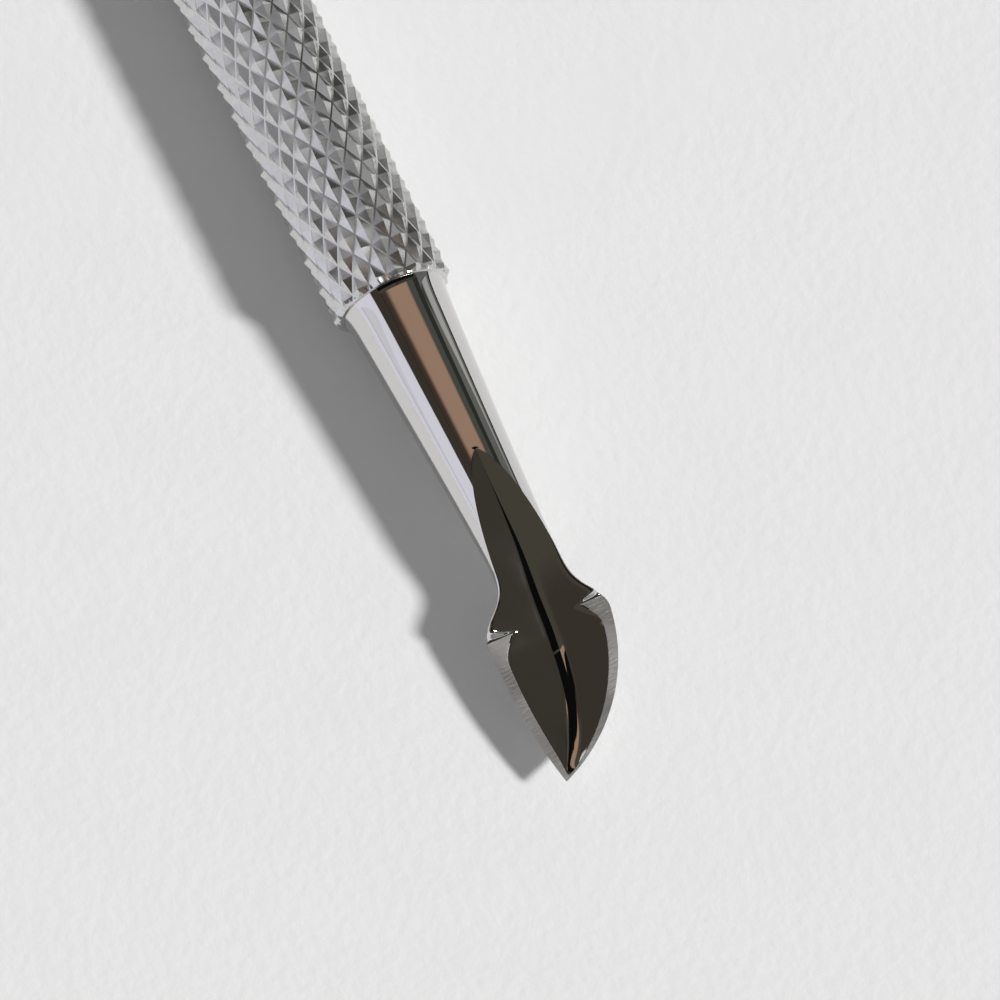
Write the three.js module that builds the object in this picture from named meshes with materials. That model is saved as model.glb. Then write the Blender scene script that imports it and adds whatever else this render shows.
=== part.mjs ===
// Double-ended cuticle pusher: a knurled steel handle with a hollow-ground spade at one
// end and a cupped spoon at the other. Each end is a separate piece with a spigot that is
// pressed into a bore in the handle.
//
// Millimetres. +X runs along the tool's axis towards the spade, +Z is up, out of the
// hollow faces. The origin is under the middle of the handle, on the plane it rests on.

import * as THREE from 'three';
import { mergeVertices } from 'three/addons/utils/BufferGeometryUtils.js';

// ---- Driving dimensions ----

// Handle
const CREST_RADIUS = 3.15;            // over the points of the knurl
const KNURL_DEPTH = 0.25;             // crest to valley
const KNURL_STARTS = 18;              // threads of each hand
const KNURL_PITCH = 1.75;             // between neighbouring threads, along the axis
const KNURL_ROWS = 87;                // two rows of points to each pitch
const KNURL_WAIST = 0.04;             // the knurl is this much thinner between its ends
const KNURL_END_FROM = 0.7;           // of half the handle's length, where it thickens
const END_LAND = 0.35;                // from the last row of points to the end face
const RECESS_RADIUS = 2.66;           // seats the root of the neck
const RECESS_DEPTH = 0.4;
const BORE_RADIUS = 2.02;
const BORE_DEPTH = 11;
const DRILL_POINT = 1.2;              // height of the cone at the bottom of the bore

// Spigots
const SPIGOT_RADIUS = 1.98;
const SPIGOT_LENGTH = 10;
const SPIGOT_CHAMFER = 0.4;
const VENT_FLAT = 0.2;                // depth of the flat that lets air out of the bore
const SEAT_GAP = 0.02;                // between the neck's root and the recess floor

// Both ends, measured from the handle's end face
const END_LENGTH = 26;
const NECK_ROOT_RADIUS = 2.62;
const NECK_WAIST_RADIUS = 1.74;
const NECK_WAIST_AT = 14.5;
const NECK_CURVE = 1.15;              // above 1 the neck's taper starts steep and eases off

// The spade: its left edge is nearly straight, its right edge sweeps round to the tip
const SPADE = {
  hollowStart: 9.5,
  hollowFall: 0.29,                   // slope of the crease where the hollow starts
  hollowTo: 19.2,                     // where the hollow has its full depth
  facetSlope: [0.2, 0.39],            // where the hollow starts, and in the blade
  floor: [0, 0.26],                   // half width of the hollow's narrow floor, as above
  creaseSoft: [0.03, 0.12],           // rounding between the floor and the facets
  left: { reach: 3.3, shoulderAt: 18.1, flare: 1.8, sweepRadius: 25 },
  right: { reach: 2.92, shoulderAt: 18.8, flare: 1.95, sweepRadius: 9.1 },
  tipSide: -2.78,
  edgeFrom: 13.5,                     // where the side line starts to drop
  edgeAt: 18.2,                       // where it has become the ground edge
  edgeDrop: 0.6,
  edgeSlope: 0.095,
  edgeLift: 0,
  rimWidth: 0.63,
  wall: 0.5,
  underPower: 1.6,
};

// The spoon: round-ended, the same on both sides
const SPOON = {
  hollowStart: 12,
  hollowFall: 0.3,
  hollowTo: 19.4,
  facetSlope: [0.3, 0.5],
  floor: [0, 0.3],
  creaseSoft: [0.3, 1.8],
  roundFrom: 19.4,
  roundPower: 2.3,
  left: { reach: 3.55, shoulderAt: 19.4, flare: 1.3 },
  right: { reach: 3.55, shoulderAt: 19.4, flare: 1.3 },
  edgeFrom: 13,
  edgeAt: 19.4,
  edgeDrop: 0.75,
  edgeSlope: 0.05,
  edgeLift: 0.035,                    // upturn of the lip
  rimWidth: 0.4,
  wall: 0.55,
  underPower: 2,
};
const RIM_TAPER = 0.8;                // half width at which a rim has lost half its width
const FLATTEN_RUN = 1.1;              // in which the round top gives way to the flat rims
const CREASE_MEETING = 0.12;          // rounding between the neck's crease and the blade's

// Facets on the faceted solids
const QUARTER_STEPS = 6;              // to each quarter of a round section
const HOLLOW_STEPS = 3;               // to each half of a hollow face
const NECK_STATIONS = 5;
const BLADE_STATIONS = 20;
const STATION_CROWDING = 1.6;         // above 1 the stations close up towards the tip

// ---- Values worked out from them ----

const VALLEY_RADIUS = CREST_RADIUS - KNURL_DEPTH;
const KNURL_POINTS = 2 * KNURL_STARTS;
const ROW_STEP = KNURL_PITCH / 2;
const HANDLE_HALF = (KNURL_ROWS - 1) * ROW_STEP / 2 + END_LAND;
const COLUMN_ANGLE = 2 * Math.PI / KNURL_POINTS;
// The handle lies on two neighbouring columns of knurl points.
const AXIS_HEIGHT = CREST_RADIUS * Math.cos(COLUMN_ANGLE / 2);

const clamp01 = (t) => Math.min(Math.max(t, 0), 1);
const mix = (a, b, t) => a + (b - a) * t;
// From 0 to 1 with no kink in slope or curvature at either end.
const smooth = (t) => clamp01(t) ** 3 * (10 - 15 * clamp01(t) + 6 * clamp01(t) ** 2);
// The larger of two heights, rounded over where they cross.
const softMax = (a, b, soft) => (a + b + Math.hypot(a - b, soft)) / 2;

// ---- Materials ----

function knurledSteel() {
  return new THREE.MeshStandardMaterial({ color: 0xa9a9a6, roughness: 0.3, metalness: 1 });
}

function polishedSteel() {
  return new THREE.MeshStandardMaterial({ color: 0xb8b7b4, roughness: 0.08, metalness: 1 });
}

// ---- Lofting ----

// Joins closed rings, which all have the same number of points, into one closed surface
// that starts at one point and ends at another. Seen from +X the rings run clockwise.
// splitFromFirst says which way each four-sided patch is cut into triangles.
function loft(start, rings, end, splitFromFirst = () => true) {
  const count = rings[0].length;
  const positions = [...start, ...rings.flat(2), ...end];
  const at = (ring, k) => 1 + ring * count + k % count;
  const last = 1 + rings.length * count;
  const triangles = [];
  for (let k = 0; k < count; k += 1) {
    triangles.push([0, at(0, k), at(0, k + 1)]);
    for (let ring = 0; ring + 1 < rings.length; ring += 1) {
      const [a, b] = [at(ring, k), at(ring, k + 1)];
      const [d, c] = [at(ring + 1, k), at(ring + 1, k + 1)];
      triangles.push(...(splitFromFirst(ring, k) ? [[a, d, c], [a, c, b]] : [[a, d, b], [b, d, c]]));
    }
    triangles.push([last, at(rings.length - 1, k + 1), at(rings.length - 1, k)]);
  }
  const raw = new THREE.BufferGeometry();
  raw.setAttribute('position', new THREE.Float32BufferAttribute(positions, 3));
  raw.setIndex(triangles.flat());
  return withoutSlivers(raw);
}

// Merges points that coincide and drops the triangles that this leaves with no area.
function withoutSlivers(raw) {
  const geometry = mergeVertices(raw, 1e-4);
  const old = geometry.index.array;
  const kept = [];
  for (let i = 0; i < old.length; i += 3) {
    const [a, b, c] = [old[i], old[i + 1], old[i + 2]];
    if (a !== b && b !== c && c !== a) kept.push(a, b, c);
  }
  geometry.setIndex(kept);
  geometry.computeVertexNormals();
  return geometry;
}

// ---- Handle ----

function handleRing(x, radiusOf) {
  return Array.from({ length: KNURL_POINTS }, (_, k) => {
    const angle = (k + 0.5) * COLUMN_ANGLE;
    const radius = radiusOf(k);
    return [x, radius * Math.sin(angle), radius * Math.cos(angle)];
  });
}

// The rings of one bored end, from the bottom of the bore out to the end face.
function boredEnd(side) {
  const face = side * HANDLE_HALF;
  return [
    handleRing(face - side * BORE_DEPTH, () => BORE_RADIUS),
    handleRing(face - side * RECESS_DEPTH, () => BORE_RADIUS),
    handleRing(face - side * RECESS_DEPTH, () => RECESS_RADIUS),
    handleRing(face, () => RECESS_RADIUS),
    handleRing(face, () => VALLEY_RADIUS),
  ];
}

// Diamond knurling: points and valley crossings alternate round each row and from row to
// row, and every patch between them is cut along the valley.
function knurledHandle() {
  const isCrossing = (row, k) => (row + k) % 2 === 1;
  const rows = Array.from({ length: KNURL_ROWS }, (_, row) => {
    const x = (row - (KNURL_ROWS - 1) / 2) * ROW_STEP;
    const outer = Math.max(Math.abs(x) - KNURL_END_FROM * HANDLE_HALF, 0);
    const lastOuter = (1 - KNURL_END_FROM) * HANDLE_HALF - END_LAND;
    const thinner = KNURL_WAIST * (1 - outer / lastOuter);
    return handleRing(x, (k) =>
      (isCrossing(row, k) ? VALLEY_RADIUS : CREST_RADIUS) - thinner);
  });
  const before = boredEnd(-1);
  const rings = [...before, ...rows, ...boredEnd(1).reverse()];
  const drillTip = HANDLE_HALF - BORE_DEPTH - DRILL_POINT;
  const alongValley = (ring, k) => isCrossing(ring - before.length, k);
  return loft([-drillTip, 0, 0], rings, [drillTip, 0, 0], alongValley);
}

// ---- Ends ----

const neckRadius = (s) =>
  mix(NECK_WAIST_RADIUS, NECK_ROOT_RADIUS, clamp01(1 - s / NECK_WAIST_AT) ** NECK_CURVE);

// How far one side reaches from the axis: the neck, then a flare out to the shoulder.
function flared(s, side) {
  const t = clamp01((s - NECK_WAIST_AT) / (side.shoulderAt - NECK_WAIST_AT));
  return neckRadius(s) + (side.reach - NECK_WAIST_RADIUS) * smooth(t ** side.flare);
}

// Past its shoulder a spade's edge is an arc from the shoulder to the tip. Heights across
// the tool are positive to the right, and bulge says which way the arc is rounded.
function sweptEdge(s, side, shoulder, bulge) {
  const [ds, dw] = [END_LENGTH - side.shoulderAt, SPADE.tipSide - shoulder];
  const chord = Math.hypot(ds, dw);
  const inward = Math.sqrt(side.sweepRadius ** 2 - chord ** 2 / 4) / chord;
  const centreS = side.shoulderAt + ds / 2 + bulge * dw * inward;
  const centreW = shoulder + dw / 2 - bulge * ds * inward;
  return centreW + bulge * Math.sqrt(side.sweepRadius ** 2 - (s - centreS) ** 2);
}

function spadeOutline(s) {
  const { left, right } = SPADE;
  return [
    s < left.shoulderAt ? -flared(s, left) : sweptEdge(s, left, -left.reach, -1),
    s < right.shoulderAt ? flared(s, right) : sweptEdge(s, right, right.reach, 1),
  ];
}

function spoonOutline(s) {
  const t = clamp01((s - SPOON.roundFrom) / (END_LENGTH - SPOON.roundFrom));
  const round = (1 - t ** SPOON.roundPower) ** (1 / SPOON.roundPower);
  return [-flared(s, SPOON.left) * round, flared(s, SPOON.right) * round];
}

const halfWidth = ([left, right]) => (right - left) / 2;

// How far the hollow rises from its crease to a place that far across from it: a narrow
// floor, then a facet.
function hollowRise(across, { slope, floor, soft }) {
  const past = softMax(Math.abs(across) - floor, 0, soft);
  return slope * (past - softMax(-floor, 0, soft));
}

// How deep a hollow is that leaves a rim of the right width on each side.
function hollowDepth(half, shape, spec) {
  const rim = spec.rimWidth * half / (half + RIM_TAPER);
  return hollowRise(half - rim, shape);
}

// The slope, floor and rounding of the hollow, from 0 at its start to 1 in the blade.
function hollowShape(spec, t) {
  return {
    slope: mix(...spec.facetSlope, t),
    floor: mix(...spec.floor, t),
    soft: mix(...spec.creaseSoft, t),
  };
}

// The crease falls ever more steeply down the neck until it reaches the blade's depth.
function neckCrease(s, spec, outline) {
  const run = spec.hollowTo - spec.hollowStart;
  const along = s - spec.hollowStart;
  const startHeight = neckRadius(spec.hollowStart);
  const half = halfWidth(outline(spec.hollowTo));
  const edgeHeight = -spec.edgeDrop - spec.edgeSlope * (spec.hollowTo - spec.edgeAt);
  const endHeight = edgeHeight - hollowDepth(half, hollowShape(spec, 1), spec);
  const extra = startHeight - endHeight - spec.hollowFall * run;
  return startHeight - spec.hollowFall * along - extra * (along / run) ** 2;
}

// The size and height of everything in the section at s. The working edge lies at the
// height of `side`, and the hollow cuts into the top.
function sectionAt(s, spec, outline) {
  const [left, right] = outline(s);
  const half = halfWidth([left, right]);
  const radius = neckRadius(s);
  const blade = smooth((s - spec.edgeFrom) / (spec.edgeAt - spec.edgeFrom));
  const past = s - spec.edgeAt;
  const line = spec.edgeLift * Math.max(past, 0) ** 2 - spec.edgeDrop - spec.edgeSlope * past;
  const side = blade * line;
  const flat = smooth((s - spec.edgeAt) / FLATTEN_RUN + 1);
  const widening = smooth((s - spec.hollowStart) / (spec.hollowTo - spec.hollowStart));
  const shape = hollowShape(spec, widening);
  const bladeCrease = line - hollowDepth(half, shape, spec);
  const crease = softMax(neckCrease(s, spec, outline), bladeCrease, CREASE_MEETING);
  return {
    middle: (left + right) / 2,
    half,
    side,
    top: side + radius * (1 - flat),
    crease,
    shape,
    bottom: mix(-radius, crease - spec.wall * clamp01(half), blade),
    power: mix(2, spec.underPower, blade),
  };
}

// Half of the top from the side (0) to the middle (1), as a point across and up.
function topPoint(section, t) {
  const angle = t * Math.PI / 2;
  return [
    section.half * Math.cos(angle),
    mix(section.side, section.top, Math.sin(angle)),
  ];
}

// Where the hollow meets the top surface, found by halving.
function hollowEdge(section) {
  let [low, high] = [0, 1];
  for (let step = 0; step < 40; step += 1) {
    const t = (low + high) / 2;
    const [across, up] = topPoint(section, t);
    if (up > section.crease + hollowRise(across, section.shape)) high = t;
    else low = t;
  }
  return high;
}

// One half of a section, from the middle of the top, across and up, to the side.
function halfTop(section) {
  const edge = hollowEdge(section);
  const [reach] = topPoint(section, edge);
  const hollow = Array.from({ length: HOLLOW_STEPS }, (_, i) => {
    const across = reach * i / HOLLOW_STEPS;
    return [across, edge < 1 ? section.crease + hollowRise(across, section.shape) : section.top];
  });
  const land = Array.from({ length: QUARTER_STEPS }, (_, i) =>
    topPoint(section, edge * (1 - i / QUARTER_STEPS)));
  return [...hollow, ...land];
}

// A quarter of the underside, from the side to the middle of the bottom.
function halfBottom({ half, side, bottom, power }) {
  return Array.from({ length: QUARTER_STEPS }, (_, i) => {
    const angle = i / QUARTER_STEPS * Math.PI / 2;
    return [
      half * Math.cos(angle) ** (2 / power),
      mix(side, bottom, Math.sin(angle) ** (2 / power)),
    ];
  });
}

// Puts a half section on both sides of the middle, clockwise from the top seen from +X.
function ringFrom(x, section, right) {
  const { middle, bottom } = section;
  const left = right.slice(1).reverse();
  return [
    ...right.map(([across, up]) => [x, middle + across, up]),
    [x, middle, bottom],
    ...left.map(([across, up]) => [x, middle - across, up]),
  ];
}

function bladeRing(s, spec, outline) {
  const section = sectionAt(s, spec, outline);
  return ringFrom(s, section, [...halfTop(section), ...halfBottom(section)]);
}

// A plain round section with a ring's number of points, and a flat on its underside.
function roundRing(x, radius, flat = 0) {
  const section = { middle: 0, half: radius, side: 0, top: radius, bottom: -radius, power: 2 };
  const uncut = { crease: 2 * radius, shape: hollowShape(SPADE, 0) };
  const top = halfTop({ ...section, ...uncut });
  const ring = ringFrom(x, section, [...top, ...halfBottom(section)]);
  return ring.map(([px, py, pz]) => [px, py, Math.max(pz, flat - radius)]);
}

function spigotRings() {
  const tip = -SPIGOT_LENGTH;
  const seat = SEAT_GAP - RECESS_DEPTH;
  return [
    roundRing(tip, SPIGOT_RADIUS - SPIGOT_CHAMFER),
    roundRing(tip + SPIGOT_CHAMFER, SPIGOT_RADIUS, VENT_FLAT),
    roundRing(seat, SPIGOT_RADIUS, VENT_FLAT),
    roundRing(seat, NECK_ROOT_RADIUS),
  ];
}

// Stations along an end: evenly down the neck, then closing up towards the tip.
function stationsFor(spec) {
  const neck = Array.from({ length: NECK_STATIONS }, (_, i) =>
    spec.hollowStart * i / NECK_STATIONS);
  const blade = Array.from({ length: BLADE_STATIONS }, (_, i) => {
    const t = i / BLADE_STATIONS;
    return mix(spec.hollowStart, END_LENGTH, 1 - (1 - t) ** STATION_CROWDING);
  });
  return [...neck, ...blade];
}

function toolEnd(spec, outline) {
  const rings = stationsFor(spec).map((s) => bladeRing(s, spec, outline));
  const tip = sectionAt(END_LENGTH, spec, outline);
  const tipPoint = [END_LENGTH, tip.middle, tip.side];
  return loft([-SPIGOT_LENGTH, 0, 0], [...spigotRings(), ...rings], tipPoint);
}

// ---- Assembly ----

function named(name, geometry, material) {
  const mesh = new THREE.Mesh(geometry, material);
  mesh.name = name;
  return mesh;
}

const tool = new THREE.Group();
tool.position.z = AXIS_HEIGHT;

const handle = named('knurled_handle', knurledHandle(), knurledSteel());
tool.add(handle);

const spade = named('spade_end', toolEnd(SPADE, spadeOutline), polishedSteel());
spade.position.x = HANDLE_HALF;
tool.add(spade);

const spoon = named('spoon_end', toolEnd(SPOON, spoonOutline), polishedSteel());
spoon.position.x = -HANDLE_HALF;
spoon.rotation.z = Math.PI;
tool.add(spoon);

export default tool;
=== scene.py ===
"""Double-ended cuticle pusher lying on pale paper: a diamond-knurled handle with a
hollow-ground spade at one end and a cupped spoon at the other, in polished steel.

The shapes are worked out in millimetres along the tool's own axis and put into the frame
in metres. +X points to the spade's tip and +Z out of the hollow faces."""

import math

import bmesh
import bpy
import numpy as np
from mathutils import Matrix, Vector


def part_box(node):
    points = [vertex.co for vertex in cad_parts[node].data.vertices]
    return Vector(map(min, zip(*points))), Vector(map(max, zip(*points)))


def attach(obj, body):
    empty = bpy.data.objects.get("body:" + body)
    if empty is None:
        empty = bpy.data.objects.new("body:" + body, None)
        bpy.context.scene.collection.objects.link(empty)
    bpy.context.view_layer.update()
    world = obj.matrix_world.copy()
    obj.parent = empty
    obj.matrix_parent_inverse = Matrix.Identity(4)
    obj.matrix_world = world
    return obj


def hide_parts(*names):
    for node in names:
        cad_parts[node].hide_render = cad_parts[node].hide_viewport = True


MM = 0.001

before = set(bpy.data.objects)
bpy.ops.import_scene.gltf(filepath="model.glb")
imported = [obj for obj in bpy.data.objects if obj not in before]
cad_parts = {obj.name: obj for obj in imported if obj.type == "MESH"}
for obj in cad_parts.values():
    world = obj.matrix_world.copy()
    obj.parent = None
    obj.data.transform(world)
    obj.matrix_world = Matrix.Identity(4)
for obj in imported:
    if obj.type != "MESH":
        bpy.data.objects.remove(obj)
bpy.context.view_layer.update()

# ---- What the frame gives, in millimetres ----

handle_low, handle_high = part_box("knurled_handle")
spade_low, spade_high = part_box("spade_end")
AXIS_HEIGHT = (handle_low.z + handle_high.z) / 2 / MM
HANDLE_HALF = handle_high.x / MM
END_LENGTH = (spade_high.x - handle_high.x) / MM
SPIGOT_LENGTH = (handle_high.x - spade_low.x) / MM

# ---- Handle ----

KNURL_STARTS = 18  # threads of each hand
KNURL_PITCH = 1.75  # between neighbouring threads, along the axis
KNURL_DEPTH = 0.25  # crest to valley
COLUMN_ANGLE = math.pi / KNURL_STARTS
CREST_RADIUS = AXIS_HEIGHT / math.cos(COLUMN_ANGLE / 2)
VALLEY_RADIUS = CREST_RADIUS - KNURL_DEPTH
# Where the mesh lines lie across one diamond, from valley to valley, and how wide the
# round bottom of a valley is on the same scale.
DIAMOND_LINES = (0, 0.05, 0.27, 0.5, 0.73, 0.95)
VALLEY_FLOOR = 0.1
FACET_HOLLOW = 1.12  # above 1 the facets are hollow
CREST_SPREAD = 0.05  # how much the points differ in height
SPREAD_WAVE = (12.9898, 78.233, 43758.5)  # a steep wave that gives each point its own height
SPARE_PITCHES = 3  # of knurl made beyond the handle's length, to be cut off
# The ragged cut end: the height of each wave, how many go round, and where it starts
RAGGED_WAVES = ((0.05, 7, 0.6), (0.04, 18, 1.9), (0.03, 31, 4.1))
END_RUN = 0.16  # from the cut end of the knurl to the handle's end face
CONE_FROM = 0.12  # from the cut end to where the turned end starts to narrow to the face
CONE_STEP = 0.02  # from the knurl's valleys down to there
FACE_WIDTH = 0.03  # of the flat ring round the recess
RECESS_RADIUS = 2.64
RECESS_DEPTH = 0.4
BORE_RADIUS = 2.02
BORE_DEPTH = 11
KNURL_SHARP = 20  # degrees between faces above which an edge isn't smoothed

# ---- Both ends, measured from the handle's end face ----

SPIGOT_RADIUS = 1.98
SPIGOT_CHAMFER = 0.4
SEAT_GAP = 0.02  # between the neck's root and the floor of the recess
NECK_ROOT_RADIUS = 2.62
NECK_WAIST_RADIUS = 1.74
NECK_WAIST_AT = 14.5
NECK_CURVE = 1.15  # above 1 the neck's taper starts steep and eases off
ROOT_FLARE = 0.1  # the neck widens by this much right at the handle
ROOT_FLARE_RUN = 0.35

# The spade's left edge is nearly straight, and its right edge sweeps round to the tip.
# A pair is a value where the hollow starts and the same value in the blade.
SPADE = {
    "hollow_start": 9.5,
    "hollow_fall": 0.29,  # slope of the crease where the hollow starts
    "hollow_to": 19.2,  # where the hollow has its full depth
    "facet_slope": (0.2, 0.39),
    "floor": (0, 0.26),  # half width of the hollow's narrow floor
    "crease_soft": (0.03, 0.12),  # rounding between the floor and the facets
    "left": {"reach": 3.3, "shoulder_at": 18.1, "flare": 1.8, "sweep_radius": 25},
    "right": {"reach": 2.92, "shoulder_at": 18.8, "flare": 1.95, "sweep_radius": 9.1},
    "tip_side": -2.78,  # how far the tip lies to the side of the axis
    "edge_from": 13.5,  # where the side line starts to drop
    "edge_at": 18.2,  # where it has become the ground edge
    "edge_drop": 0.6,  # how far below the axis it then lies
    "edge_slope": 0.095,  # how steeply it falls from there
    "edge_lift": 0,
    "rim_width": 0.63,
    "corner": (0.01, 0.3, 0.015),  # rounded border of the hollow: its start, blade and rims
    "wall": 0.5,  # thickness under the crease
    "under_power": 1.6,  # 2 makes the underside round, and less makes it leaner
}

# The spoon is round-ended and the same on both sides.
SPOON = {
    "hollow_start": 12,
    "hollow_fall": 0.3,
    "hollow_to": 19.4,
    "facet_slope": (0.3, 0.5),
    "floor": (0, 0.3),
    "crease_soft": (0.3, 1.8),
    "side": {"reach": 3.55, "shoulder_at": 19.4, "flare": 1.3},
    "round_from": 19.4,
    "round_power": 2.3,
    "edge_from": 13,
    "edge_at": 19.4,
    "edge_drop": 0.75,
    "edge_slope": 0.05,
    "edge_lift": 0.035,  # upturn of the lip
    "rim_width": 0.4,
    "corner": (0.25, 0.6, 0.04),
    "wall": 0.55,
    "under_power": 2,
}
RIM_TAPER = 0.8  # half width at which a rim has lost half its width
FLATTEN_RUN = 0.5  # in which the round top gives way to the flat rims
CORNER_FADE = 1.4  # in which the rounded border of the hollow runs out along the rims
CREASE_MEETING = 0.12  # rounding between the neck's crease and the blade's
CORNER_SHARE = 0.45  # the most of a surface's width that its rounded border may take
RIM_LEAD = 0.1  # how far ahead of the ground edge a rim may start
RIM_TOLERANCE = 0.004  # how far off the edge line's height a rim's faces may lie
RIM_UPRIGHT = 0.9  # the least upward part of a rim face's normal

# Mesh lines in the smooth surfaces
HOLLOW_STEPS = 22
HOLLOW_CROWDING = 1.6  # above 1 the lines close up towards the crease
CORNER_STEPS = 8
LAND_STEPS = 16
UNDER_STEPS = 26
NECK_STATIONS = 90
BLADE_STATIONS = 330
STATION_CROWDING = 1.35  # above 1 the stations close up towards the tip
HALVINGS = 40  # steps in finding where the hollow meets the top
END_SHARP = 25  # degrees between faces above which an edge isn't smoothed

# Tolerances
TINY = 1e-9
LEAST_REACH = 1e-6
MERGE_DISTANCE = 2e-5
EMPTY_EDGE = 1e-5
CUT_TOLERANCE = 1e-5


def clamp01(t):
    return min(max(t, 0.0), 1.0)


def mix(a, b, t):
    return a + (b - a) * t


def smoother(t):
    """From 0 to 1 with no kink in slope or curvature at either end."""
    t = clamp01(t)
    return t**3 * (10 - 15 * t + 6 * t * t)


# ---- Shapes of the two ends ----


def neck_radius(s):
    taper = clamp01(1 - s / NECK_WAIST_AT) ** NECK_CURVE
    flare = ROOT_FLARE * math.exp(-max(s, 0) / ROOT_FLARE_RUN)
    return mix(NECK_WAIST_RADIUS, NECK_ROOT_RADIUS, taper) + flare


def flared(s, side):
    """How far one side reaches from the axis: the neck, then a flare to the shoulder."""
    t = clamp01((s - NECK_WAIST_AT) / (side["shoulder_at"] - NECK_WAIST_AT))
    flare = smoother(t ** side["flare"])
    return neck_radius(s) + (side["reach"] - NECK_WAIST_RADIUS) * flare


def swept_edge(s, side, shoulder, bulge):
    """Past its shoulder a spade's edge is an arc from the shoulder to the tip."""
    start = side["shoulder_at"]
    ds = END_LENGTH - start
    dw = SPADE["tip_side"] - shoulder
    chord = math.hypot(ds, dw)
    inward = math.sqrt(side["sweep_radius"] ** 2 - chord**2 / 4) / chord
    centre_s = start + ds / 2 + bulge * dw * inward
    centre_w = shoulder + dw / 2 - bulge * ds * inward
    s = max(s, centre_s) if centre_s < END_LENGTH else s
    return centre_w + bulge * math.sqrt(side["sweep_radius"] ** 2 - (s - centre_s) ** 2)


def spade_edges(s):
    left, right = SPADE["left"], SPADE["right"]
    return (
        swept_edge(s, left, -left["reach"], -1),
        swept_edge(s, right, right["reach"], 1),
    )


def spade_outline(s):
    left, right = SPADE["left"], SPADE["right"]
    edges = spade_edges(s)
    return (
        -flared(s, left) if s < left["shoulder_at"] else edges[0],
        flared(s, right) if s < right["shoulder_at"] else edges[1],
    )


def spoon_edges(s):
    t = clamp01((s - SPOON["round_from"]) / (END_LENGTH - SPOON["round_from"]))
    power = SPOON["round_power"]
    reach = SPOON["side"]["reach"] * (1 - t**power) ** (1 / power)
    return -reach, reach


def spoon_outline(s):
    reach = min(flared(s, SPOON["side"]), spoon_edges(s)[1])
    return -reach, reach


def soft_max(a, b, soft):
    """The larger of two heights, rounded over where they cross."""
    return (a + b + math.hypot(a - b, soft)) / 2


def hollow_rise(across, slope, floor, soft):
    """How far the hollow has risen that far across from its crease: a narrow floor, then
    a facet."""
    return slope * (soft_max(abs(across) - floor, 0, soft) - soft_max(-floor, 0, soft))


def rim_at(edge_half, spec):
    """The width of one ground rim, which narrows towards the tip."""
    return spec["rim_width"] * edge_half / (edge_half + RIM_TAPER)


def neck_crease(s, spec, edges):
    """The height of the crease from where the hollow starts to its full depth."""
    full = spec["hollow_to"]
    full_left, full_right = edges(full)
    full_half = (full_right - full_left) / 2
    depth = hollow_rise(full_half - rim_at(full_half, spec), spec["facet_slope"][1],
                        spec["floor"][1], spec["crease_soft"][1])
    start_height = neck_radius(spec["hollow_start"])
    run = full - spec["hollow_start"]
    end_height = -spec["edge_drop"] - spec["edge_slope"] * (full - spec["edge_at"]) - depth
    drop = start_height - end_height - spec["hollow_fall"] * run
    along = s - spec["hollow_start"]
    return start_height - spec["hollow_fall"] * along - drop * (along / run) ** 2


def section_at(s, spec, outline, edges):
    """The size and height of everything in the section at s."""
    left, right = outline(s)
    radius = neck_radius(s)
    blade = smoother((s - spec["edge_from"]) / (spec["edge_at"] - spec["edge_from"]))
    past = s - spec["edge_at"]
    lift = spec["edge_lift"] * max(past, 0) ** 2
    line = -spec["edge_drop"] - spec["edge_slope"] * past + lift
    side = blade * line
    widening = smoother((s - spec["hollow_start"]) / (spec["hollow_to"] - spec["hollow_start"]))
    floor = mix(*spec["floor"], widening)
    soft = mix(*spec["crease_soft"], widening)
    slope = mix(*spec["facet_slope"], widening)
    flattening = smoother((s - spec["edge_at"]) / FLATTEN_RUN + 1)
    start_corner, blade_corner, rim_corner = spec["corner"]
    corner = mix(start_corner, blade_corner, blade)
    corner = mix(corner, rim_corner, smoother((s - spec["edge_at"]) / CORNER_FADE))

    edge_left, edge_right = edges(s)
    edge_half = (edge_right - edge_left) / 2
    blade_crease = line - hollow_rise(edge_half - rim_at(edge_half, spec), slope, floor, soft)
    crease = soft_max(neck_crease(s, spec, edges), blade_crease, CREASE_MEETING)

    return {
        "left": left,
        "right": right,
        "crease_side": blade * (edge_left + edge_right) / 2,
        "side": side,
        "top": side + radius * (1 - flattening),
        "crease": crease,
        "bottom": mix(-radius, crease - spec["wall"] * clamp01(edge_half), blade),
        "power": mix(2, spec["under_power"], blade),
        "slope": slope,
        "floor": floor,
        "soft": soft,
        "corner": corner,
    }


def top_point(section, reach, t):
    """Half of the top from the side (0) to the middle (1), as a point across and up."""
    angle = t * math.pi / 2
    return reach * math.cos(angle), mix(section["side"], section["top"], math.sin(angle))


def hollow_height(section, across):
    return section["crease"] + hollow_rise(
        across, section["slope"], section["floor"], section["soft"])


def hollow_edge(section, reach, offset):
    """Where the hollow meets the top surface, found by halving. Distances across are from
    the middle of the outline, and offset says how far the crease lies from it."""
    low, high = 0.0, 1.0
    for _ in range(HALVINGS):
        t = (low + high) / 2
        across, up = top_point(section, reach, t)
        if up > hollow_height(section, across - offset):
            high = t
        else:
            low = t
    return high


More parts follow.
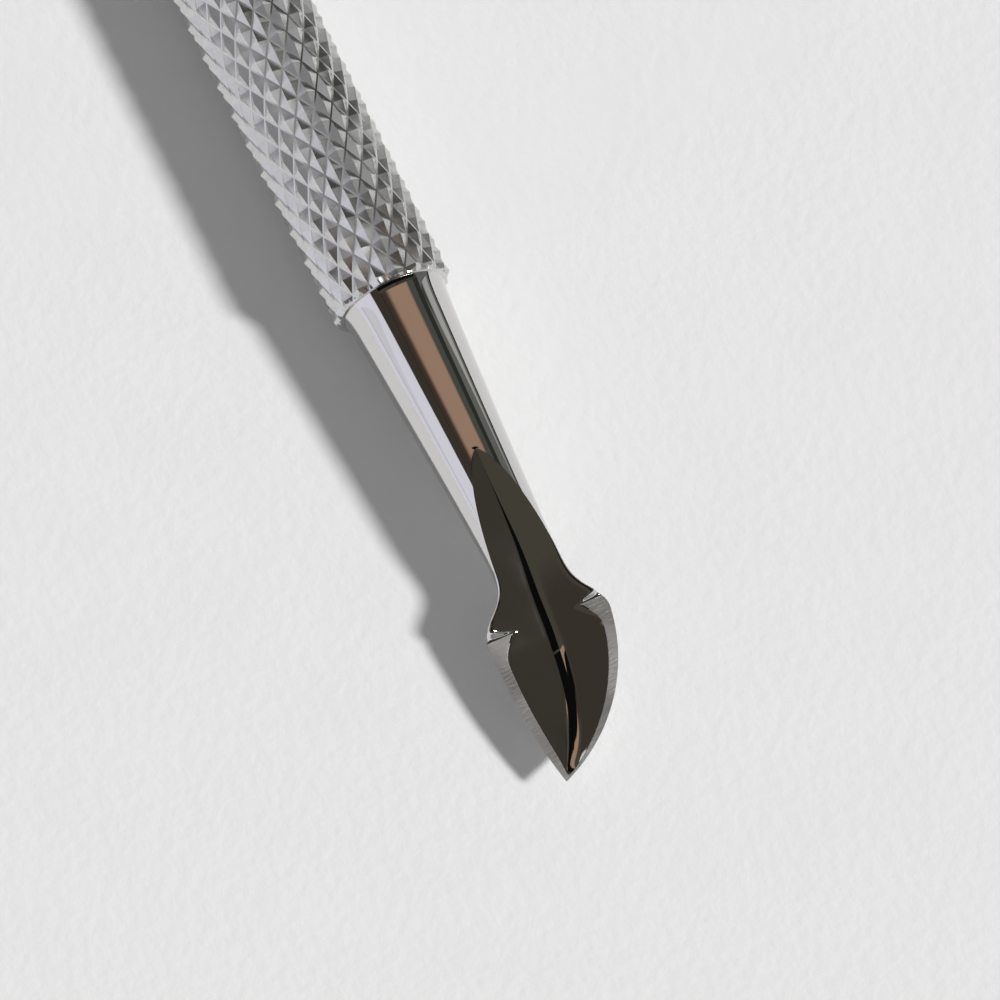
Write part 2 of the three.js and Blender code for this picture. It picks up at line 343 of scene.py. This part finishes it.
def half_section(section, reach, offset):
    """One half of a section from the crease over the top and down to the bottom, as
    points across and up. Its corner is rounded with a curve that leaves both sides
    smoothly."""
    edge = hollow_edge(section, reach, offset)
    corner = np.array(top_point(section, reach, edge))
    has_hollow = edge < 1 - TINY
    width = corner[0] - offset if has_hollow else 0.0
    setback = min(section["corner"], CORNER_SHARE * abs(width))
    points = []

    def on_hollow(u):
        across = width * u
        if not has_hollow:
            return np.array((0.0, section["top"]))
        return np.array((offset + across, hollow_height(section, across)))

    hollow_end = 1 - setback / abs(width) if abs(width) > TINY else 1.0
    for i in range(HOLLOW_STEPS):
        u = (i / HOLLOW_STEPS) ** HOLLOW_CROWDING
        points.append(on_hollow(u * hollow_end))
    arc = math.pi / 2 * max(reach, section["top"] - section["side"], LEAST_REACH)
    land_start = edge - min(setback / arc, CORNER_SHARE * edge) if has_hollow else edge
    start, end = on_hollow(hollow_end), np.array(top_point(section, reach, land_start))
    for i in range(CORNER_STEPS):
        u = i / CORNER_STEPS
        curve = (1 - u) ** 2 * start + 2 * u * (1 - u) * corner + u * u * end
        points.append(curve if has_hollow else np.array((0.0, section["top"])))
    for i in range(LAND_STEPS):
        points.append(np.array(top_point(section, reach, land_start * (1 - i / LAND_STEPS))))
    for i in range(UNDER_STEPS):
        angle = i / UNDER_STEPS * math.pi / 2
        across = reach * math.cos(angle) ** (2 / section["power"])
        up = mix(section["side"], section["bottom"], math.sin(angle) ** (2 / section["power"]))
        points.append(np.array((across, up)))
    return points


def ring_at(s, spec, outline, edges):
    """A closed ring of points, clockwise from the crease as seen from the tip."""
    section = section_at(s, spec, outline, edges)
    middle = (section["left"] + section["right"]) / 2
    reach = (section["right"] - section["left"]) / 2
    offset = section["crease_side"] - middle
    right = half_section(section, reach, offset)
    left = half_section(section, reach, -offset)
    ring = [(s, middle + p[0], p[1]) for p in right]
    ring.append((s, middle, section["bottom"]))
    ring.extend((s, middle - p[0], p[1]) for p in reversed(left[1:]))
    return ring


def round_ring(s, radius):
    """A plain round section with a ring's number of points."""
    section = {
        "side": 0, "top": radius, "bottom": -radius, "power": 2,
        "crease": 2 * radius, "slope": 0, "floor": 0, "soft": 1, "corner": 0,
    }
    half = half_section(section, radius, 0)
    ring = [(s, p[0], p[1]) for p in half]
    ring.append((s, 0, -radius))
    ring.extend((s, -p[0], p[1]) for p in reversed(half[1:]))
    return ring


def end_rings(spec, outline, edges):
    """All the rings of one end, from the spigot's tip to the end's own."""
    seat = -RECESS_DEPTH + SEAT_GAP
    rings = [
        round_ring(-SPIGOT_LENGTH, SPIGOT_RADIUS - SPIGOT_CHAMFER),
        round_ring(-SPIGOT_LENGTH + SPIGOT_CHAMFER, SPIGOT_RADIUS),
        round_ring(seat, SPIGOT_RADIUS),
        round_ring(seat, NECK_ROOT_RADIUS),
    ]
    start = spec["hollow_start"]
    for i in range(NECK_STATIONS):
        rings.append(ring_at(start * i / NECK_STATIONS, spec, outline, edges))
    for i in range(BLADE_STATIONS):
        closing = 1 - (1 - i / BLADE_STATIONS) ** STATION_CROWDING
        rings.append(ring_at(mix(start, END_LENGTH, closing), spec, outline, edges))
    return rings


# ---- Meshes ----


def loft(name, start, rings, end):
    """Joins closed rings into one closed mesh between a start point and an end point."""
    count = len(rings[0])
    points = [start, *[p for ring in rings for p in ring], end]
    faces = []
    last = len(points) - 1
    for k in range(count):
        n = (k + 1) % count
        faces.append((0, 1 + k, 1 + n))
        for r in range(len(rings) - 1):
            a, d = 1 + r * count, 1 + (r + 1) * count
            faces.append((a + k, d + k, d + n, a + n))
        z = 1 + (len(rings) - 1) * count
        faces.append((last, z + n, z + k))
    mesh = bpy.data.meshes.new(name)
    mesh.from_pydata([Vector(p) for p in points], [], faces)
    bm = bmesh.new()
    bm.from_mesh(mesh)
    bmesh.ops.remove_doubles(bm, verts=bm.verts, dist=MERGE_DISTANCE)
    bmesh.ops.dissolve_degenerate(bm, edges=bm.edges, dist=EMPTY_EDGE)
    bm.to_mesh(mesh)
    bm.free()
    return mesh


def add_piece(name, mesh, place, nodes, sharp_degrees):
    """Puts a mesh made in millimetres into the frame, in place of its CAD node."""
    mesh.transform(place @ Matrix.Scale(MM, 4))
    mesh.polygons.foreach_set("use_smooth", [True] * len(mesh.polygons))
    mesh.set_sharp_from_angle(angle=math.radians(sharp_degrees))
    mesh.update()
    piece = bpy.data.objects.new(name, mesh)
    bpy.context.scene.collection.objects.link(piece)
    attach(piece, "root")
    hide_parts(*nodes)
    return piece


# ---- Knurled handle ----


def knurl_grid():
    """The knurled sleeve as points and triangles, a little longer than the handle.

    The two hands of thread are counted by p and q, which are whole numbers along the
    valleys: their sum turns round the handle and their difference runs along it."""
    lines = np.array(DIAMOND_LINES)
    per = len(lines)
    around = per * KNURL_STARTS
    reach = int(2 * HANDLE_HALF / KNURL_PITCH) + SPARE_PITCHES
    half_columns = per * reach
    a = np.arange(around)[:, None]
    c = np.arange(-half_columns, half_columns + 1)[None, :]
    b = a + c
    p = a // per + lines[a % per]
    q = b // per + lines[b % per]
    away_p = 1 - np.abs(2 * (p % 1) - 1)
    away_q = 1 - np.abs(2 * (q % 1) - 1)
    rise = np.clip((np.minimum(away_p, away_q) - VALLEY_FLOOR) / (1 - VALLEY_FLOOR), 0, 1)
    turn_wave, along_wave, wave_height = SPREAD_WAVE
    wave = np.sin(turn_wave * (a // per % KNURL_STARTS) + along_wave * (c // per))
    spread = wave * wave_height
    height = rise**FACET_HOLLOW * (1 - CREST_SPREAD * (spread % 1))
    radius = VALLEY_RADIUS + KNURL_DEPTH * height
    angle = (p + q) * COLUMN_ANGLE + COLUMN_ANGLE / 2
    x = (p - q) * KNURL_PITCH / 2
    points = np.stack((x, radius * np.sin(angle), radius * np.cos(angle)), axis=-1)
    width = c.shape[1]

    def vertex(i, j):
        return (i % around) * width + j

    i, j = np.meshgrid(np.arange(around), np.arange(1, width - 1), indexing="ij")
    corners = np.stack(
        (vertex(i, j), vertex(i + 1, j - 1), vertex(i + 1, j), vertex(i, j + 1)), axis=-1
    ).reshape(-1, 4)
    sub_p = (i % per).reshape(-1)
    sub_q = ((i + c[0, j]) % per).reshape(-1)
    ridge_across = sub_p + sub_q == per - 1
    first = np.where(ridge_across[:, None], corners[:, [0, 1, 3]], corners[:, [0, 1, 2]])
    second = np.where(ridge_across[:, None], corners[:, [1, 2, 3]], corners[:, [0, 2, 3]])
    return points.reshape(-1, 3), np.concatenate((first, second))


def ragged(angle):
    """How far the cut end of the knurl strays along the axis, in millimetres."""
    return sum(height * math.sin(count * angle + start) for height, count, start in RAGGED_WAVES)


def angle_of(co):
    """The angle round the axis, from straight up towards +Y."""
    return math.atan2(co.y, co.z)


def knurled_mesh():
    """The knurl cut to length along a ragged line, with both ends closed. It is bent by the
    line, cut flat and bent back."""
    points, triangles = knurl_grid()
    mesh = bpy.data.meshes.new("knurled_handle_skin")
    mesh.from_pydata(points.tolist(), [], triangles.tolist())
    bm = bmesh.new()
    bm.from_mesh(mesh)
    cut = HANDLE_HALF - END_RUN
    for side in (-1, 1):
        for vert in bm.verts:
            vert.co.x -= side * ragged(angle_of(vert.co))
        everything = [*bm.verts, *bm.edges, *bm.faces]
        bmesh.ops.bisect_plane(
            bm, geom=everything, dist=CUT_TOLERANCE, plane_co=(side * cut, 0, 0),
            plane_no=(side, 0, 0), clear_outer=True,
        )
        for vert in bm.verts:
            vert.co.x += side * ragged(angle_of(vert.co))
    for side in (-1, 1):
        close_end(bm, side)
    bmesh.ops.recalc_face_normals(bm, faces=bm.faces)
    bm.to_mesh(mesh)
    bm.free()
    return mesh


def close_end(bm, side):
    """Carries the cut end of the knurl over the turned end, across the end face and down
    the bore."""
    edges = [e for e in bm.edges if e.is_boundary and side * e.verts[0].co.x > 0]
    steps = (
        (CONE_FROM, VALLEY_RADIUS - CONE_STEP),
        (END_RUN, RECESS_RADIUS + FACE_WIDTH),
        (END_RUN, RECESS_RADIUS),
        (END_RUN - RECESS_DEPTH, RECESS_RADIUS),
        (END_RUN - RECESS_DEPTH, BORE_RADIUS),
        (END_RUN - BORE_DEPTH, BORE_RADIUS),
    )
    for run, radius in steps:
        made = bmesh.ops.extrude_edge_only(bm, edges=edges)["geom"]
        edges = [g for g in made if isinstance(g, bmesh.types.BMEdge) and g.is_boundary]
        verts = {g for g in made if isinstance(g, bmesh.types.BMVert)}
        for vert in verts:
            angle = angle_of(vert.co)
            vert.co = (
                side * (HANDLE_HALF - END_RUN + run),
                radius * math.sin(angle),
                radius * math.cos(angle),
            )
    bmesh.ops.contextual_create(bm, geom=edges)


# ---- Materials ----

FINE_DETAIL = 4.0  # octaves of noise
BROAD_DETAIL = 2.0
CLOUD_SCALE = 350.0  # patches of roughness a few millimetres wide
CLOUD_RANGE = (0.3, 0.7)  # where the noise starts and stops to change the roughness
PAPER_COLOURS = ((0.82, 0.82, 0.82), (0.85, 0.85, 0.85))
PAPER_GRAIN = 1500.0
PAPER_PATCHES = 220.0
PAPER_BUMP = (0.35, 0.0001)  # strength, and height in metres


class Nodes:
    """A short way to lay out a node tree."""

    def __init__(self, tree):
        self.tree = tree
        tree.nodes.clear()

    def add(self, kind, **settings):
        node = self.tree.nodes.new(kind)
        for key, value in settings.items():
            setattr(node, key, value)
        return node

    def link(self, source, target):
        self.tree.links.new(source, target)

    def math(self, operation, first, second):
        node = self.add("ShaderNodeMath", operation=operation)
        for socket, value in zip(node.inputs, (first, second)):
            if isinstance(value, (int, float)):
                socket.default_value = value
            else:
                self.link(value, socket)
        return node.outputs[0]

    def ramp(self, value, low, high, to_low=0.0, to_high=1.0):
        node = self.add("ShaderNodeMapRange", interpolation_type="SMOOTHSTEP")
        self.link(value, node.inputs["Value"])
        node.inputs["From Min"].default_value = low
        node.inputs["From Max"].default_value = high
        node.inputs["To Min"].default_value = to_low
        node.inputs["To Max"].default_value = to_high
        return node.outputs[0]

    def noise(self, vector, scale, detail, stretch=(1, 1, 1)):
        mapping = self.add("ShaderNodeMapping")
        mapping.inputs["Scale"].default_value = stretch
        self.link(vector, mapping.inputs["Vector"])
        node = self.add("ShaderNodeTexNoise")
        node.inputs["Scale"].default_value = scale
        node.inputs["Detail"].default_value = detail
        self.link(mapping.outputs[0], node.inputs["Vector"])
        return node.outputs["Fac"]

    def blend(self, factor, first, second):
        node = self.add("ShaderNodeMix", data_type="RGBA")
        self.link(factor, node.inputs["Factor"])
        for socket, value in ((node.inputs[6], first), (node.inputs[7], second)):
            if isinstance(value, tuple):
                socket.default_value = (*value, 1)
            else:
                self.link(value, socket)
        return node.outputs[2]


def add_bump(nodes, height_from, bump, shader):
    node = nodes.add("ShaderNodeBump")
    node.inputs["Strength"].default_value = bump[0]
    node.inputs["Distance"].default_value = bump[1]
    nodes.link(height_from, node.inputs["Height"])
    nodes.link(node.outputs[0], shader.inputs["Normal"])


def steel(name, colours, roughness, bump, scale, stretch=(1, 1, 1)):
    """Bare steel. Its colour and relief follow fine marks, which are narrower along the
    axes where stretch is above 1, and its roughness varies in patches."""
    material = bpy.data.materials.new(name)
    material.use_nodes = True
    nodes = Nodes(material.node_tree)
    where = nodes.add("ShaderNodeTexCoord").outputs["Object"]
    marks = nodes.noise(where, scale, FINE_DETAIL, stretch)
    cloud = nodes.noise(where, CLOUD_SCALE, BROAD_DETAIL)
    shader = nodes.add("ShaderNodeBsdfPrincipled")
    shader.inputs["Metallic"].default_value = 1.0
    nodes.link(nodes.blend(marks, *colours), shader.inputs["Base Color"])
    rough = nodes.ramp(cloud, *CLOUD_RANGE, *roughness)
    nodes.link(rough, shader.inputs["Roughness"])
    add_bump(nodes, marks, bump, shader)
    output = nodes.add("ShaderNodeOutputMaterial")
    nodes.link(shader.outputs[0], output.inputs["Surface"])
    return material


def knurled_steel():
    return steel("knurled_steel", colours=((0.62, 0.62, 0.61), (0.7, 0.7, 0.69)),
                 roughness=(0.18, 0.32), bump=(0.2, 0.00002), scale=4000.0)


def polished_steel():
    return steel("polished_steel", colours=((0.68, 0.67, 0.655), (0.72, 0.71, 0.70)),
                 roughness=(0.03, 0.06), bump=(0.02, 0.00001), scale=900.0,
                 stretch=(1, 6, 6))


def ground_edge():
    return steel("ground_edge", colours=((0.5, 0.5, 0.49), (0.66, 0.66, 0.65)),
                 roughness=(0.42, 0.55), bump=(0.5, 0.00003), scale=1800.0,
                 stretch=(6, 1, 1))


def paper_material():
    material = bpy.data.materials.new("pale_paper")
    material.use_nodes = True
    nodes = Nodes(material.node_tree)
    where = nodes.add("ShaderNodeTexCoord").outputs["Object"]
    grain = nodes.noise(where, PAPER_GRAIN, FINE_DETAIL)
    patches = nodes.noise(where, PAPER_PATCHES, BROAD_DETAIL)
    shader = nodes.add("ShaderNodeBsdfPrincipled")
    shader.inputs["Roughness"].default_value = 1.0
    shader.inputs["Specular IOR Level"].default_value = 0.0
    nodes.link(nodes.blend(patches, *PAPER_COLOURS), shader.inputs["Base Color"])
    add_bump(nodes, grain, PAPER_BUMP, shader)
    output = nodes.add("ShaderNodeOutputMaterial")
    nodes.link(shader.outputs[0], output.inputs["Surface"])
    return material


# ---- Pieces ----

handle = add_piece("knurled_handle_skin", knurled_mesh(),
                   Matrix.Translation((0, 0, AXIS_HEIGHT * MM)),
                   ["knurled_handle"], KNURL_SHARP)
handle.data.materials.append(knurled_steel())

polished = polished_steel()
ground = ground_edge()


def mark_rims(mesh, spec, outline, edges):
    """Gives the flat ground rims their own material: they lie level with the edge line."""
    for face in mesh.polygons:
        s, _, up = face.center
        if s < spec["edge_at"] - RIM_LEAD or face.normal.z < RIM_UPRIGHT:
            continue
        if abs(up - section_at(s, spec, outline, edges)["side"]) < RIM_TOLERANCE:
            face.material_index = 1


def make_end(name, spec, outline, edges, place, node):
    """One pressed-in end, from its spigot to its tip."""
    mesh = loft(name, (-SPIGOT_LENGTH, 0, 0), end_rings(spec, outline, edges),
                (END_LENGTH, sum(outline(END_LENGTH)) / 2,
                 section_at(END_LENGTH, spec, outline, edges)["side"]))
    mesh.materials.append(polished)
    mesh.materials.append(ground)
    mark_rims(mesh, spec, outline, edges)
    add_piece(name, mesh, place, [node], END_SHARP)


to_spade = Matrix.Translation((HANDLE_HALF * MM, 0, AXIS_HEIGHT * MM))
to_spoon = (Matrix.Translation((-HANDLE_HALF * MM, 0, AXIS_HEIGHT * MM))
            @ Matrix.Rotation(math.pi, 4, "Z"))
make_end("spade_end_skin", SPADE, spade_outline, spade_edges, to_spade, "spade_end")
make_end("spoon_end_skin", SPOON, spoon_outline, spoon_edges, to_spoon, "spoon_end")

# ---- Floor ----

FLOOR_HALF = 40.0  # metres
floor_mesh = bpy.data.meshes.new("floor")
floor_mesh.from_pydata(
    [(-FLOOR_HALF, -FLOOR_HALF, 0), (FLOOR_HALF, -FLOOR_HALF, 0),
     (FLOOR_HALF, FLOOR_HALF, 0), (-FLOOR_HALF, FLOOR_HALF, 0)], [], [(0, 1, 2, 3)])
floor = bpy.data.objects.new("floor", floor_mesh)
bpy.context.scene.collection.objects.link(floor)
floor_mesh.materials.append(paper_material())

# ---- Studio ----

# What the polished steel mirrors. Each band is a stretch of the sky: degrees from straight
# up towards +Y, how soft its edges are, and its light.
FAR_BANDS = (
    ((-180, 10), 2, (0.074, 0.067, 0.052)),
    ((10, 180), 2, (0.052, 0.045, 0.036)),
    ((57, 87), 2, (0.15, 0.152, 0.14)),
    ((-47, -29), 3, (0.052, 0.042, 0.034)),
    ((-101, -47), 0.7, (0.84, 0.84, 0.95)),
    ((86.5, 91), 1, (0.003, 0.003, 0.003)),
)
CAMERA_BLACK = (0.004, 0.004, 0.004)
TAN = (0.40, 0.26, 0.185)
BROWN = (0.06, 0.043, 0.034)
# The stretches of a near card, in the same degrees as the bands.
NECK_STRIPES = (
    ((-29, -14), 6, BROWN),
    ((-14, 32), 6, TAN),
    ((32, 46), 1, (0.082, 0.083, 0.075)),
    ((46, 57), 1, (0.033, 0.034, 0.030)),
)
WEDGE_STRIPES = (
    ((-29, -3), 1, TAN),
    ((-3, 20), 1, CAMERA_BLACK),
)
CREASE_STRIPES = (((-29, 50), 1, CAMERA_BLACK),)
NECK_CREASE_STRIPES = (((-3, 20), 1, CAMERA_BLACK),)
HANDLE_STRIPES = (
    ((-80, -42), 3, (0.74, 0.74, 0.80)),
    ((-42, -5), 3, (0.27, 0.27, 0.285)),
    ((-5, 22), 3, (0.42, 0.42, 0.43)),
    ((22, 62), 3, (0.06, 0.06, 0.055)),
    ((62, 80), 3, (0.45, 0.45, 0.44)),
)
AMBIENT = (0.8, 0.8, 0.8)
AMBIENT_STRENGTH = 0.34
# The near cards: both ends and the height, in millimetres from the point where the spade
# end's axis meets the handle, and what they show.
CARDS = (
    ("handle_card", -3.3, -90, 12, HANDLE_STRIPES),
    ("neck_card", 0, -30, 60, NECK_STRIPES),
    ("wedge_card", 14.5, 10.5, 29, WEDGE_STRIPES),
    ("blade_crease_card", 10.5, 3.5, 29, CREASE_STRIPES),
    ("neck_crease_card", 80, 12, 60, NECK_CREASE_STRIPES),
)
KEY_DIRECTION = Vector((0.508, 0.583, 0.634))
KEY_STRENGTH = 3.3
KEY_WIDTH = math.radians(7.5)  # sets how soft the shadow's edge is


def banded(nodes, degrees, bands):
    """The light of the last band that a direction lies in."""
    colour = CAMERA_BLACK
    for (low, high), soft, light in bands:
        mask = nodes.math("MULTIPLY",
                          nodes.ramp(degrees, low - soft, low + soft),
                          nodes.ramp(degrees, high - soft, high + soft, 1, 0))
        colour = nodes.blend(mask, colour, light)
    return colour


def make_world():
    world = bpy.data.worlds.new("studio")
    bpy.context.scene.world = world
    world.use_nodes = True
    nodes = Nodes(world.node_tree)
    direction = nodes.add("ShaderNodeTexCoord").outputs["Generated"]
    split = nodes.add("ShaderNodeSeparateXYZ")
    nodes.link(direction, split.inputs[0])
    turn = nodes.math("ARCTAN2", split.outputs["Y"], split.outputs["Z"])
    degrees = nodes.math("MULTIPLY", turn, 180 / math.pi)
    colour = banded(nodes, degrees, FAR_BANDS)
    mirrored = nodes.add("ShaderNodeBackground")
    nodes.link(colour, mirrored.inputs["Color"])
    ambient = nodes.add("ShaderNodeBackground")
    ambient.inputs["Color"].default_value = (*AMBIENT, 1)
    ambient.inputs["Strength"].default_value = AMBIENT_STRENGTH
    choose = nodes.add("ShaderNodeMixShader")
    nodes.link(nodes.add("ShaderNodeLightPath").outputs["Is Glossy Ray"], choose.inputs[0])
    nodes.link(ambient.outputs[0], choose.inputs[1])
    nodes.link(mirrored.outputs[0], choose.inputs[2])
    output = nodes.add("ShaderNodeOutputWorld")
    nodes.link(choose.outputs[0], output.inputs["Surface"])


def make_card(name, near_x, far_x, height, stripes):
    """A level card over the tool that only shows in the steel. Its sides lie where the
    first stripe starts and the last one stops."""
    low = height * math.tan(math.radians(stripes[0][0][0]))
    high = height * math.tan(math.radians(stripes[-1][0][1]))
    corners = ((near_x, low), (near_x, high), (far_x, high), (far_x, low))
    mesh = bpy.data.meshes.new(name)
    mesh.from_pydata([(x * MM, y * MM, 0) for x, y in corners], [], [(0, 1, 2, 3)])
    card = bpy.data.objects.new(name, mesh)
    card.location = (HANDLE_HALF * MM, 0, (AXIS_HEIGHT + height) * MM)
    bpy.context.scene.collection.objects.link(card)
    material = bpy.data.materials.new(name)
    material.use_nodes = True
    nodes = Nodes(material.node_tree)
    where = nodes.add("ShaderNodeTexCoord").outputs["Object"]
    split = nodes.add("ShaderNodeSeparateXYZ")
    nodes.link(where, split.inputs[0])
    turn = nodes.math("ARCTAN2", split.outputs["Y"], height * MM)
    degrees = nodes.math("MULTIPLY", turn, 180 / math.pi)
    glow = nodes.add("ShaderNodeEmission")
    nodes.link(banded(nodes, degrees, stripes), glow.inputs["Color"])
    output = nodes.add("ShaderNodeOutputMaterial")
    nodes.link(glow.outputs[0], output.inputs["Surface"])
    mesh.materials.append(material)
    card.visible_camera = False
    card.visible_diffuse = False
    card.visible_shadow = False


def make_key():
    data = bpy.data.lights.new("key", "SUN")
    data.energy = KEY_STRENGTH
    data.angle = KEY_WIDTH
    key = bpy.data.objects.new("key", data)
    key.rotation_mode = "QUATERNION"
    key.rotation_quaternion = KEY_DIRECTION.to_track_quat("Z", "Y")
    bpy.context.scene.collection.objects.link(key)


make_world()
for card in CARDS:
    make_card(*card)
make_key()

# ---- Camera, in millimetres ----

CAMERA_ELEVATION = math.radians(67.7)
TOOL_HEADING = math.radians(24.9)  # the tool's axis from straight towards the camera
CAMERA_DISTANCE = 500.0
VIEW_WIDTH = 49.2611  # what the picture spans at that distance
# Where the neck meets the handle, from the middle of the picture
JUNCTION_ACROSS = -5.20197
JUNCTION_ABOVE = 9.76355
SENSOR = 36.0
CLIP_METRES = (0.01, 200)


def make_camera():
    sin_e, cos_e = math.sin(CAMERA_ELEVATION), math.cos(CAMERA_ELEVATION)
    sin_h, cos_h = math.sin(TOOL_HEADING), math.cos(TOOL_HEADING)
    right = Vector((sin_h, cos_h, 0))
    up = Vector((-sin_e * cos_h, sin_e * sin_h, cos_e))
    back = Vector((cos_e * cos_h, -cos_e * sin_h, sin_e))
    junction = Vector((HANDLE_HALF, 0, AXIS_HEIGHT))
    aim = junction - right * JUNCTION_ACROSS - up * JUNCTION_ABOVE
    place = aim + back * CAMERA_DISTANCE
    data = bpy.data.cameras.new("camera")
    data.sensor_width = SENSOR
    data.lens = SENSOR * CAMERA_DISTANCE / VIEW_WIDTH
    data.clip_start, data.clip_end = CLIP_METRES
    camera = bpy.data.objects.new("camera", data)
    bpy.context.scene.collection.objects.link(camera)
    rotation = Matrix((right, up, back)).transposed().to_4x4()
    camera.matrix_world = Matrix.Translation(place * MM) @ rotation
    bpy.context.scene.camera = camera


make_camera()
bpy.context.scene.view_settings.view_transform = "Standard"
